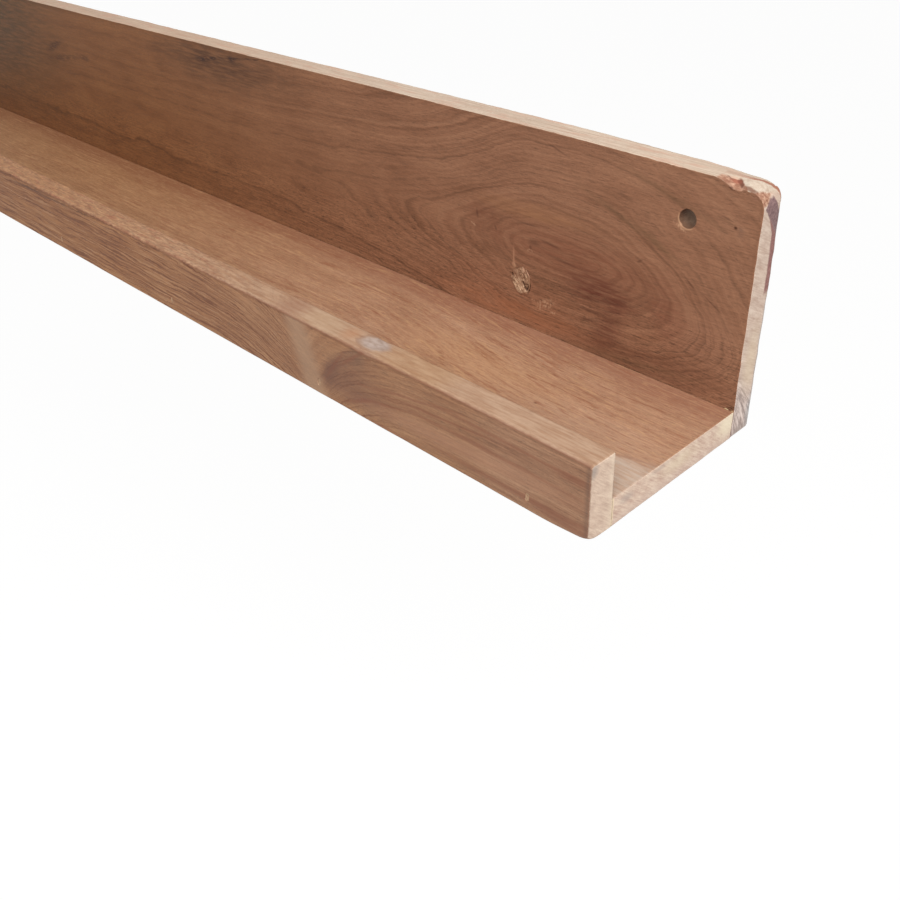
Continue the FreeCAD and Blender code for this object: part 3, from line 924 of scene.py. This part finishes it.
def dried_glue():
    """Yellowish dried glue."""
    g = material("dried_glue")
    beads = g.mottle(1.5, 0.8, 1.5, 3.0, 0.6)
    colour = g.ramp(beads, (0.35, (176, 146, 100)), (0.65, (218, 196, 154)))
    return g.finish(colour, 0.5, beads, 0.1, specular=0.4)


def nail_steel():
    """Dull steel with rust in patches."""
    g = material("nail_steel")
    patches = g.mottle(1.2, 1.2, 1.2, 3.0, 0.6)
    scratches = g.mottle(0.2, 6, 0.2)
    colour = g.ramp(patches, (0.4, (128, 126, 124)), (0.55, (112, 92, 78)), (0.66, (110, 66, 44)))
    relief = patches * 0.6 + scratches * 0.4
    return g.finish(colour, 0.4 + patches * 0.3, relief, 0.06, specular=0.5, metal=0.75)


# Pieces


def long_stops(blocks):
    """Grid lines along a board, closer together towards its near end."""
    coarse, middling, fine = 3.0, 1.8, 1.0
    middling_from, fine_from = 260.0, 450.0

    def step(place):
        return coarse if place < middling_from else middling if place < fine_from else fine

    marks = sorted({place for block in blocks for place in block} | {middling_from, fine_from})
    stops = edge_stops(far_x, near_x, [(place, step(place)) for place in marks])
    stops[2] = (stops[2][0], coarse)
    return spaced(stops)


def circle(radius):
    return lambda angle: np.full(len(angle), radius)


def slot_outline(half_width, half_height, lean=0.0):
    """The outline of an upright slot with round ends, as a radius at an angle."""
    def outline(angle):
        angle = angle + math.radians(lean)
        straight = half_height - half_width
        side = half_width / np.maximum(np.abs(np.cos(angle)), 1e-9)
        height = side * np.abs(np.sin(angle))
        over = straight * np.abs(np.sin(angle))
        cap = over + np.sqrt(np.maximum(over ** 2 - straight ** 2 + half_width ** 2, 0))
        return np.where(height <= straight, side, cap)
    return outline


knot_outline_shares = [(0.50, 0.02), (0.38, 0.33), (0.08, 0.50), (-0.24, 0.36), (-0.50, 0.12),
                       (-0.42, -0.22), (-0.14, -0.47), (0.26, -0.50), (0.46, -0.26)]
knot_centre = np.array([near_x - 143.5, underside_z + 43.6])
knot_size = np.array([14.5, 16.5])


def knot_outline(angle):
    """The uneven hole's outline, as a radius at an angle."""
    corners = np.array(knot_outline_shares) * knot_size
    curve = []
    for place in range(len(corners)):
        p = [corners[(place + shift) % len(corners)] for shift in (-1, 0, 1, 2)]
        for t in np.arange(0, 1, 0.1):
            curve.append(0.5 * (2 * p[1] + (p[2] - p[0]) * t
                                + (2 * p[0] - 5 * p[1] + 4 * p[2] - p[3]) * t ** 2
                                + (3 * p[1] - 3 * p[2] + p[3] - p[0]) * t ** 3))
    curve = np.array(curve)
    turns = np.arctan2(curve[:, 1], curve[:, 0])
    order = np.argsort(turns)
    return np.interp(angle, turns[order], np.hypot(curve[:, 0], curve[:, 1])[order], period=2 * math.pi)


def turned_from(angle, degrees):
    """How far each angle is from a direction, in radians either way."""
    return np.angle(np.exp(1j * (angle - math.radians(degrees))))


# How far the worn corner has lost its rim, in millimetres. The first number of each pair is the
# place round the corner: 0 to 90 degrees on its arc, then millimetres along the top above 90 and
# down the end below 0. The rim is lost from the front face to a ridge, and again to the rear.
front_losses = [(31, 0), (43, 0.5), (54, 1.4), (64, 2.2), (83, 2.7), (91, 3.4), (94, 3.4), (95.5, 2.9),
                (97, 2.1), (99, 1.3), (100.5, 0.8), (102, 0.3), (104, 0)]
rear_losses = [(-30, 0), (-17, 0.2), (-12, 0.43), (-7, 0.55), (-2, 0.7), (9, 0.6), (20, 0.1), (37, 0),
               (46, 0.3), (61, 1.05), (81, 1.7), (92, 1.55), (98, 1.1), (105, 0.4), (118, 0)]
ridge_depths = [(35, 9.6), (50, 8.5), (60, 7.5), (82, 6.5)]


def back_board():
    """The tall board, with its hanging holes, the knot's pocket and the pits behind."""
    thickness = back_high[1] - back_low[1]
    hole_xs = (far_x + hanging_hole_from_end, near_x - hanging_hole_from_end)
    half_hole = 9.0
    half_knot = (9.6, 10.8)
    half_pit = (2.4, 3.6)
    pit_depth = 1.5
    worn_radius, heel_radius = 12.0, 3.9
    corner_radii = (1.0, 1.0, worn_radius, 3.0)
    blocks = [(x - half_hole, x + half_hole) for x in hole_xs]
    blocks += [(x - half_pit[0], x + half_pit[0]) for x in nail_xs]
    blocks.append((knot_centre[0] - half_knot[0], knot_centre[0] + half_knot[0]))
    rows = [(nail_z - half_pit[1], nail_z + half_pit[1]), (-half_hole, half_hole),
            (knot_centre[1] - half_knot[1], knot_centre[1] + half_knot[1])]
    marks = sorted({place for row in rows for place in row})
    low = np.array([far_x, underside_z])
    high = np.array([near_x, top_z])
    vs = spaced(edge_stops(low[1], high[1], [(mark, 1.8) for mark in marks]))
    ws = np.array([0, 0.25, 0.6, 1.1, 1.8, 2.8, 4.2, 6, 8, 10, 11.8, 13.2, 14.2, 14.9, 15.4, 15.75, 16])
    skin = Skin(long_stops(blocks), vs, ws * thickness / ws[-1])

    def chipped_rim(angle):
        return 0.28 + 0.9 * np.exp(-(turned_from(angle, 222) / 0.3) ** 2) + 0.1 * np.sin(angle * 5)

    for x in hole_xs:
        skin.through(np.array([x, hanging_hole_z]), half_hole, circle(hanging_hole_radius),
                     chipped_rim if x > 0 else circle(0.4))
    skin.pocket("front", knot_centre, half_knot, knot_outline, circle(0.25), knot_high[1] - back_low[1])
    for x in nail_xs:
        pit = slot_outline(0.82, 1.52)
        skin.pocket("rear", (x, nail_z), half_pit, pit, circle(0.12), thickness - pit_depth)

    def arris(points):
        u, v, w = points.T
        rear = w > thickness / 2
        wobble = noise(u[:, None], 11, 3) * 0.5 + noise(u[:, None], 2.6, 4) * 0.5
        tall = noise(v[:, None], 9, 5) * 0.4 + noise(v[:, None], 2.2, 6) * 0.4
        top = np.where(rear, 0.6 + wobble + 1.4 * smooth(u, 360, 470), 0.3 + 0.35 * wobble)
        end = np.where(rear, 0.9 + tall, 0.2 + 0.3 * tall)
        return np.stack([end, end, np.full(len(u), 0.25), top], 1)

    def faces(points):
        return wavy(points, 45, 0.22, 11) + wavy(points, 12, 0.06, 12)

    def loss(points):
        u, v, w = points.T
        across, up = u - (near_x - worn_radius), v - (top_z - worn_radius)
        turn = np.degrees(np.arctan2(np.maximum(up, 0), np.maximum(across, 0)))
        place = turn + np.where(up > 0, np.maximum(-across, 0), up)
        ragged = noise(points, 2.2, 16) * 0.6 + noise(points, 0.9, 17) * 0.4
        ridge = np.interp(place, *zip(*ridge_depths))
        slope = np.clip(1 - w / ridge, 0, 1) * (0.8 + 0.4 * ragged)
        rearward = np.clip((w - ridge) / (15 - ridge), 0, 1) ** 1.2
        step = 0.8 * np.exp(-((place - 91.5) / 1.3) ** 2 - (w / 3.4) ** 2)
        chips = 0.5 * ragged ** 2 * smooth(w, 3, 0) * smooth(u, 380, 470) * smooth(v, 18, 22)
        return (np.interp(place, *zip(*front_losses)) * slope
                + np.interp(place, *zip(*rear_losses)) * rearward + step + chips)

    def shape(points):
        u, v, w = points.T
        up, from_rear = rounded_edge(v - low[1], thickness - w, heel_radius)
        points = np.column_stack([u, low[1] + up, thickness - from_rear])
        flat, w = worn(points, low, high, corner_radii, thickness, arris, faces, loss)
        near_top = smooth(points[:, 1], top_z - 22, top_z)
        sag = 1.15 * smooth(u, 370, 480) + 0.22 * noise(u[:, None], 26, 14)
        flat[:, 1] -= sag * near_top
        ragged = smooth(points[:, 1], shelf_z + 4, shelf_z + 12) * smooth(u, near_x - 2, near_x)
        flat[:, 0] -= ragged * 0.3 * noise(points[:, 1][:, None], 5, 15)
        return np.column_stack([flat, w])

    return skin.mesh("back_board_wood", shape, upright(back_low[1]))


def bottom_board():
    """The board that things stand on."""
    thickness = bottom_high[2] - bottom_low[2]
    low = np.array([far_x, bottom_low[1]])
    high = np.array([near_x, bottom_high[1]])
    vs = spaced(edge_stops(low[1], high[1], [(low[1] + 5, 2.0)]))
    ws = np.array([0, 0.25, 0.6, 1.1, 1.8, 3, 5, 8, 11, 13, 14.2, 14.9, 15.4, 15.75, 16])
    skin = Skin(long_stops([]), vs, ws * thickness / ws[-1])

    def arris(points):
        u, v, _ = points.T
        end = 0.2 + 0.3 * noise(v[:, None], 8, 21) + 0.2 * noise(v[:, None], 2.2, 24)
        joint = np.full(len(u), 0.2)
        return np.stack([end, end, joint, joint], 1)

    def faces(points):
        joints = np.minimum(points[:, 1] - low[1], high[1] - points[:, 1])
        return (wavy(points, 38, 0.2, 22) + wavy(points, 10, 0.06, 23)) * smooth(joints, 0, 6)

    def shape(points):
        flat, w = worn(points, low, high, (0.1,) * 4, thickness, arris, faces)
        return np.column_stack([flat, w])

    def place(points):
        return np.column_stack([points[:, 0], points[:, 1], bottom_high[2] - points[:, 2]])

    return skin.mesh("bottom_board_wood", shape, place)


def front_lip():
    """The low board in front, with a slot for the filler over each nail."""
    thickness = lip_high[1] - lip_low[1]
    half_slot = 2.6
    slot_depth = filler_high[1] - lip_low[1]
    low = np.array([far_x, underside_z])
    high = np.array([near_x, lip_top_z])
    blocks = [(x - half_slot, x + half_slot) for x in nail_xs]
    marks = (nail_z - 3.4, nail_z + 4.2)
    vs = spaced([(low[1], 0.3), (low[1] + 1.2, 0.6), (marks[0], 0.8), (marks[1], 1.2),
                 (high[1] - 6, 0.6), (high[1] - 1.8, 0.3), (high[1], 0.3)])
    ws = np.array([0, 0.25, 0.6, 1.1, 1.8, 2.6, 3.6, 5, 7, 9, 11.5, 13.8, 15, 15.8, 16.4, 16.75, 17])
    skin = Skin(long_stops(blocks), vs, ws * thickness / ws[-1])
    for x in nail_xs:
        centre = (x, (marks[0] + marks[1]) / 2)
        skin.pocket("front", centre, (half_slot, (marks[1] - marks[0]) / 2),
                    slot_outline(1.22, 2.42, 9), circle(0.12), slot_depth)

    def dent(u, width):
        return np.exp(-((u - lip_dent_x) / width) ** 2)

    def wobble(u):
        return noise(u[:, None], 14, 31) * 0.7 + noise(u[:, None], 4, 32) * 0.3

    def arris(points):
        u, v, w = points.T
        rear = w > thickness / 2
        top = np.where(rear, 0.7 + wobble(u) * 0.6, 0.3)
        exposed = smooth(v, shelf_z - 0.5, shelf_z + 1.5)
        end = np.where(rear, 0.35 + 0.6 * exposed, 0.5 + 0.4 * noise(v[:, None], 7, 33))
        return np.stack([end, end, np.full(len(u), 0.2), top], 1)

    def faces(points):
        return wavy(points, 40, 0.22, 34) + wavy(points, 11, 0.06, 35)

    def shape(points):
        u, v, w = points.T
        far_foot = 0.3 + 1.2 * smooth(w, thickness * 0.75, 0)
        radius = 1.0 + 0.3 * noise(u[:, None], 14, 37) + 1.4 * smooth(u, 470, 500)
        up, through = rounded_edge(v - low[1], w, radius)
        radius = 2.4 + wobble(u) + 1.2 * dent(u, 8)
        down, through = rounded_edge(high[1] - low[1] - up, through, radius)
        points = np.column_stack([u, high[1] - down, through])
        flat, w = worn(points, low, high, (far_foot, 0.3, 1.2, 1.2), thickness, arris, faces)
        from_corner = near_x - flat[:, 0] + flat[:, 1] - low[1] + w
        short = 4.0 - from_corner
        push = (short + np.hypot(short, 3.0)) * smooth(from_corner, 26, 8) / 6
        flat += np.outer(push, (-1, 1))
        w = w + push
        near_top = smooth(v, high[1] - 14, high[1])
        flat[:, 1] -= near_top * (0.18 * noise(u[:, None], 24, 36) + 0.5 * dent(u, 7))
        return np.column_stack([flat, w])

    return skin.mesh("front_lip_wood", shape, upright(lip_low[1]))


def stack_rings(rings, middle_top, middle_floor):
    """Faces between rings of points, closed by a middle point at each end."""
    turns = len(rings[0])
    points = [middle_top] + [tuple(point) for ring in rings for point in ring] + [middle_floor]
    faces = []
    for turn in range(turns):
        after = (turn + 1) % turns
        faces.append((0, 1 + turn, 1 + after))
        for ring in range(len(rings) - 1):
            inner = 1 + ring * turns
            outer = inner + turns
            faces.append((inner + turn, outer + turn, outer + after, inner + after))
        last = 1 + (len(rings) - 1) * turns
        faces.append((last + turn, len(points) - 1, last + after))
    return points, faces


def add_part(points, faces, more_points, more_faces):
    """Adds one closed part to a mesh's points and faces."""
    start = len(points)
    points += more_points
    faces += [tuple(start + index for index in face) for face in more_faces]


def lip_nail_fillers():
    """Filler over each nail of the lip, slightly sunk and uneven."""
    angles = np.linspace(-math.pi, math.pi, 28, endpoint=False)
    around = np.column_stack([np.cos(angles), np.sin(angles)])
    outline = slot_outline(1.2, 2.4, 9)(angles)[:, None]
    depth = filler_high[1] - lip_low[1]
    points, faces = [], []
    for count, x in enumerate(nail_xs):
        rings = []
        for share in (0.2, 0.4, 0.6, 0.8, 0.92, 1):
            flat = around * outline * share
            sunk = 0.2 + 0.3 * noise(flat, 0.9, 41 + count) + 0.12 * share ** 6
            rings.append(np.column_stack([flat, sunk]))
        rings.append(np.column_stack([around * outline, np.full(len(around), depth)]))
        more, these = stack_rings(rings, (0, 0, 0.35), (0, 0, depth))
        placed = [(x + a, lip_low[1] + d, nail_z + 0.4 + u) for a, u, d in more]
        add_part(points, faces, placed, these)
    return solid("lip_nail_filler_plugs", points, faces)


def splinter(start, end, width, lift, bend):
    """A pointed sliver of wood that lies on the board's front, from start to end."""
    start = np.array(start, float)
    end = np.array(end, float)
    along = end - start
    side = np.array([-along[1], along[0]]) / np.hypot(*along)
    points, faces = [], []
    stations, turns = 11, 8
    for station in range(stations):
        share = station / (stations - 1)
        arch = math.sin(share * math.pi)
        middle = start + along * share + side * bend * arch
        swell = 0.12 + 0.88 * arch ** 0.7
        for turn in range(turns):
            angle = 2 * math.pi * turn / turns
            flat = middle + side * math.cos(angle) * width / 2 * swell
            depth = back_low[1] + 0.12 - lift * arch - math.sin(angle) * width * 0.35 * swell
            points.append((flat[0], depth, flat[1]))
    for station in range(stations - 1):
        for turn in range(turns):
            after = (turn + 1) % turns
            one, other = station * turns, (station + 1) * turns
            faces.append((one + turn, one + after, other + after, other + turn))
    faces.append(tuple(range(turns)))
    faces.append(tuple(range((stations - 1) * turns, stations * turns)))
    return points, faces


def knot_filler():
    """Splintered pale wood in the uneven hole, with a slit, a frayed rim and slivers."""
    turns = 150
    angles = np.linspace(-math.pi, math.pi, turns, endpoint=False)
    around = np.column_stack([np.cos(angles), np.sin(angles)])
    hole = knot_outline(angles)
    shadow = (1.1 * np.exp(-(turned_from(angles, -26) / 0.3) ** 2)
              + 0.35 * np.exp(-(turned_from(angles, 166) / 0.16) ** 2))
    fray = noise(around, 0.09, 51) * noise(around, 0.3, 52) * 2.4
    reach = hole - 0.1 + fray - shadow * 1.6
    slit_start, slit_end = np.array([1.2, -0.6]), np.array([4.2, -5.2])
    along = (slit_end - slit_start) / np.hypot(*(slit_end - slit_start))

    def depth_at(flat, share):
        across, up = flat.T
        lean = np.where(up > -1, 0.3, -0.55)
        fibres = noise(np.column_stack([(across + up * lean) / 0.5, up / 2.0]), 1, 53)
        lumps = noise(flat, 1.3, 54)
        coarse = noise(flat, 3.4, 55)
        depth = 0.75 - 0.7 * fibres - 0.75 * lumps - 0.5 * coarse
        depth = depth * smooth(share, 1.02, 0.8) - 0.06 * smooth(share, 0.8, 1.0)
        depth = depth + shadow_at(flat) * smooth(share, 0.62, 0.95) * 2.4
        run = (flat - slit_start) @ along
        off = (flat - slit_start) @ np.array([-along[1], along[0]])
        width = 0.32 + 0.09 * np.clip(run, 0, 6) + 0.2 * (noise(flat, 1.1, 56) - 0.5)
        slit = np.exp(-(off / width) ** 2) * smooth(run, -0.6, 0.8) * smooth(run, 6.2, 5.0)
        pit = np.exp(-(((across - 1.8) / 1.3) ** 2 + ((up + 0.9) / 0.9) ** 2))
        return np.maximum(depth, -0.45) + 2.3 * slit + 0.8 * pit

    def shadow_at(flat):
        angle = np.arctan2(flat[:, 1], flat[:, 0])
        return np.interp(angle, angles, shadow, period=2 * math.pi)

    rings = []
    for share in np.linspace(0, 1, 34)[1:]:
        flat = around * (reach * share)[:, None]
        rings.append(np.column_stack([flat, depth_at(flat, np.full(turns, share))]))
    inner = np.minimum(reach, hole - 0.08)
    tuck = rings[-1][:, 2] + 0.3
    rings.append(np.column_stack([around * inner[:, None], tuck]))
    floor = knot_high[1] - back_low[1]
    rings.append(np.column_stack([around * inner[:, None] * 0.97, np.full(turns, floor)]))
    whole, faces = stack_rings(rings, (0, 0, 0.6), (0, 0, floor))
    points = [(knot_centre[0] + a, back_low[1] + d, knot_centre[1] + u) for a, u, d in whole]
    slivers = [((358.0, -54.6), (359.3, -60.4), 0.55, 0.45, 0.15),
               ((360.4, -55.4), (363.8, -60.0), 0.6, 0.45, -0.2),
               ((356.0, -56.6), (358.4, -61.3), 0.5, 0.35, 0.3),
               ((362.8, -58.6), (359.0, -63.0), 0.5, 0.5, 0.3),
               ((363.0, -61.0), (361.4, -70.2), 0.7, 0.4, 1.1),
               ((360.0, -57.2), (362.6, -64.4), 0.5, 0.55, -0.5),
               ((351.2, -60.6), (354.0, -67.0), 0.8, 0.35, -0.4),
               ((353.0, -65.2), (357.4, -71.4), 0.9, 0.45, 0.4),
               ((355.6, -64.0), (359.6, -70.4), 0.8, 0.5, -0.3),
               ((352.8, -58.4), (356.6, -60.8), 0.5, 0.4, 0.2),
               ((361.6, -66.2), (364.4, -62.8), 0.45, 0.4, 0.3),
               ((353.4, -70.2), (352.2, -66.2), 0.5, 0.3, 0.2)]
    for sliver in slivers:
        add_part(points, faces, *splinter(*sliver))
    return solid("knot_filler_splinters", points, faces)


def glue_line(name, node, spill):
    """Dried glue in a joint, a little below the boards' faces. At the near end some of it has
    been squeezed out. spill is how far it bulges there."""
    low, high = box(node)
    half = (high[1] - low[1]) / 2
    recess = 0.35
    us = spaced([(far_x + 0.2, 0.2), (far_x + 1.2, 10.0), (near_x - 9, 0.35), (near_x - 0.2, 0.2)])
    vs = spaced([(low[2] + recess, 1.0), (high[2] - recess, 0.25), (high[2] + 0.6, 0.2)])
    skin = Skin(us, vs, np.array([0, half, half * 2]))

    def shape(points):
        u, v, w = points.T
        from_end = np.minimum(u - far_x, near_x - u)
        lumps = noise(points, 1.7, 61)
        near = np.exp(-((u - near_x + 4.2) / 1.3) ** 2) + np.exp(-((u - near_x + 1.0) / 0.8) ** 2)
        near = near * (0.5 + 0.5 * lumps)
        top = high[2] - recess + np.maximum(v - high[2] + recess, 0) * near
        squeezed = smooth(v, high[2] - 0.1, high[2] + 0.5) * near * smooth(w, half * 2, 0)
        at_end = smooth(from_end, 0.9, 0.2) * (0.6 + 0.4 * noise(v[:, None], 2.5, 62))
        out_w = (w - half) * (1 + spill / half * at_end) - squeezed * spill * 3
        return np.column_stack([u, np.minimum(v, top), half + out_w])

    return skin.mesh(name, shape, upright(low[1]))


dress(back_board(), back_wood(), "back_wood", "back_board")
dress(bottom_board(), bottom_wood(), "bottom_wood", "bottom_board")
dress(front_lip(), lip_wood(), "lip_wood", "front_lip")
dress(lip_nail_fillers(), filler_paste(), "wood_filler", "lip_nail_fillers")
dress(knot_filler(), splintered_wood(), "wood_filler", "knot_filler")
glue = dried_glue()
dress(glue_line("back_glue_bead", "back_glue_line", 0.25), glue, "dried_glue", "back_glue_line")
dress(glue_line("lip_glue_bead", "lip_glue_line", 0.35), glue, "dried_glue", "lip_glue_line")
steel = nail_steel()
for node in ("back_nails", "lip_nails"):
    coat(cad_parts[node], steel)


# Camera, floor and light


def stand(name, data, right, up, back, place):
    """A camera or a lamp at a place, with its three axes."""
    made = new_object(name, data)
    rows = [(right[axis], up[axis], back[axis], place[axis]) for axis in range(3)]
    made.matrix_world = Matrix(rows + [(0, 0, 0, 1)])
    return made


def camera():
    """The photograph's view, from the solved camera."""
    lens, sensor = 39.4525, 36.0
    eye = (0.7044, -0.4020, 0.1787)
    right = (0.69986, 0.7134, -0.03546)
    up = (-0.38575, 0.41928, 0.82183)
    back = (0.60116, -0.56149, 0.56863)
    data = bpy.data.cameras.new("camera")
    data.lens = lens
    data.sensor_width = sensor
    data.clip_start = 0.01
    bpy.context.scene.camera = stand("camera", data, right, up, back, eye)


def seen_directly(g):
    """1 on rays from the camera or a reflection, which see a white room, and 0 on the rest."""
    seen = g.node("ShaderNodeLightPath").outputs
    rays = [Field(g, seen[f"Is {kind} Ray"]) for kind in ("Camera", "Glossy", "Transmission")]
    return g.math("MINIMUM", rays[0] + rays[1] + rays[2], 1.0)


def floor():
    """A pale floor below the shelf. The camera sees it nearly white, with the soft shadow."""
    reach, level = 6.0, -0.75
    data = bpy.data.meshes.new("floor")
    corners = [(x * reach, y * reach, level) for x, y in ((-1, -1), (1, -1), (1, 1), (-1, 1))]
    data.from_pydata(corners, [], [(0, 1, 2, 3)])
    g = Graph(bpy.data.materials.new("pale_floor"))
    matt = g.node("ShaderNodeBsdfDiffuse", {0: (235, 234, 232)})
    glow = g.node("ShaderNodeEmission", {"Strength": 1.08})
    inputs = {0: seen_directly(g) * 0.85, 1: matt.outputs[0], 2: glow.outputs[0]}
    mix = g.node("ShaderNodeMixShader", inputs)
    g.node("ShaderNodeOutputMaterial", {0: mix.outputs[0]})
    data.materials.append(g.owner)
    new_object("floor", data)


def surroundings():
    """A white room: seen as white, and lighting the object softly."""
    level = 0.45
    world = bpy.data.worlds.new("room")
    bpy.context.scene.world = world
    g = Graph(world)
    strength = seen_directly(g) * (1 - level) + level
    background = g.node("ShaderNodeBackground", {0: (255, 255, 255), 1: strength})
    g.node("ShaderNodeOutputWorld", {0: background.outputs[0]})


def softbox(name, place, aim, width, watts):
    """A square lamp that faces a point."""
    data = bpy.data.lights.new(name, "AREA")
    data.shape = "SQUARE"
    data.size = width
    data.energy = watts
    z = np.array(place, float) - np.array(aim, float)
    z /= np.linalg.norm(z)
    x = np.cross((0, 0, 1), z)
    x /= np.linalg.norm(x)
    stand(name, data, x, np.cross(z, x), z, place)


camera()
floor()
surroundings()
softbox("key", place=(1.1, -0.75, 0.95), aim=(0.3, -0.05, -0.05), width=1.1, watts=21.4)
bpy.context.scene.view_settings.view_transform = "Standard"
